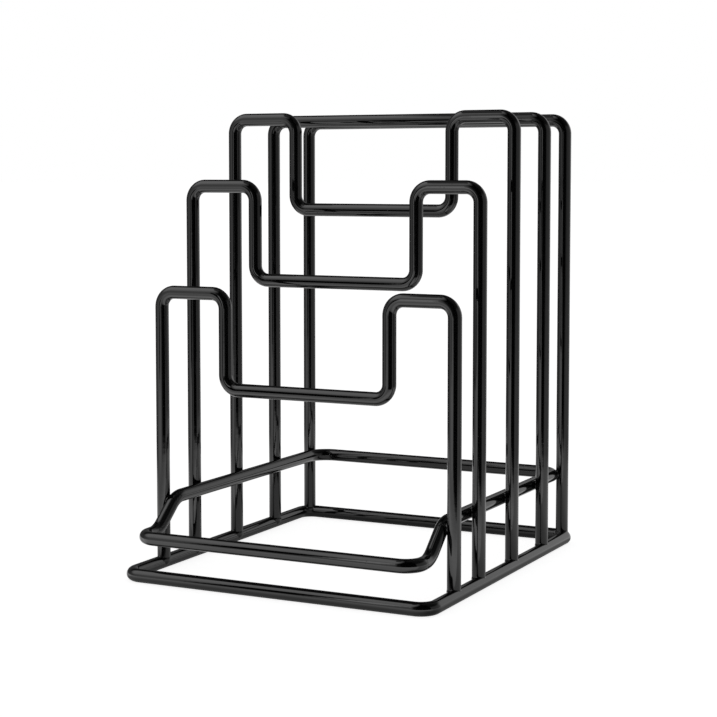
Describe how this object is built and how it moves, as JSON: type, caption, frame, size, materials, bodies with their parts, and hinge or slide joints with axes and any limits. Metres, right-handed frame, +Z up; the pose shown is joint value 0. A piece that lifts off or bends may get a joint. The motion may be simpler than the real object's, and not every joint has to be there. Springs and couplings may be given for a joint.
{
  "type": "stepped wire plate rack",
  "caption": "Free-standing rack of bent round wire: a base ring, a raised rest ring with a ramped lip, and upright dividers that step up to the back, with dropped notches at the front.",
  "frame": {"origin": "on the table, under the middle of the rack's footprint", "axes": "+Z up; +Y from the lip at the front to the tall dividers at the back; +X to the right when facing the rack from its front"},
  "size_m": [0.1518, 0.1732, 0.2079],
  "materials": {
    "wire_coat": "gloss black baked enamel on steel wire",
    "weld_coat": "the same gloss black enamel, run smooth over the weld nuggets"
  },
  "bodies": {
    "root": {"base_ring": "wire_coat", "rest_ring": "wire_coat", "front_divider": "wire_coat", "second_divider": "wire_coat", "third_divider": "wire_coat", "fourth_divider": "wire_coat", "back_divider": "wire_coat", "left_foot_welds": "weld_coat", "right_foot_welds": "weld_coat", "left_rest_welds": "weld_coat", "right_rest_welds": "weld_coat"}
  },
  "joints": []
}
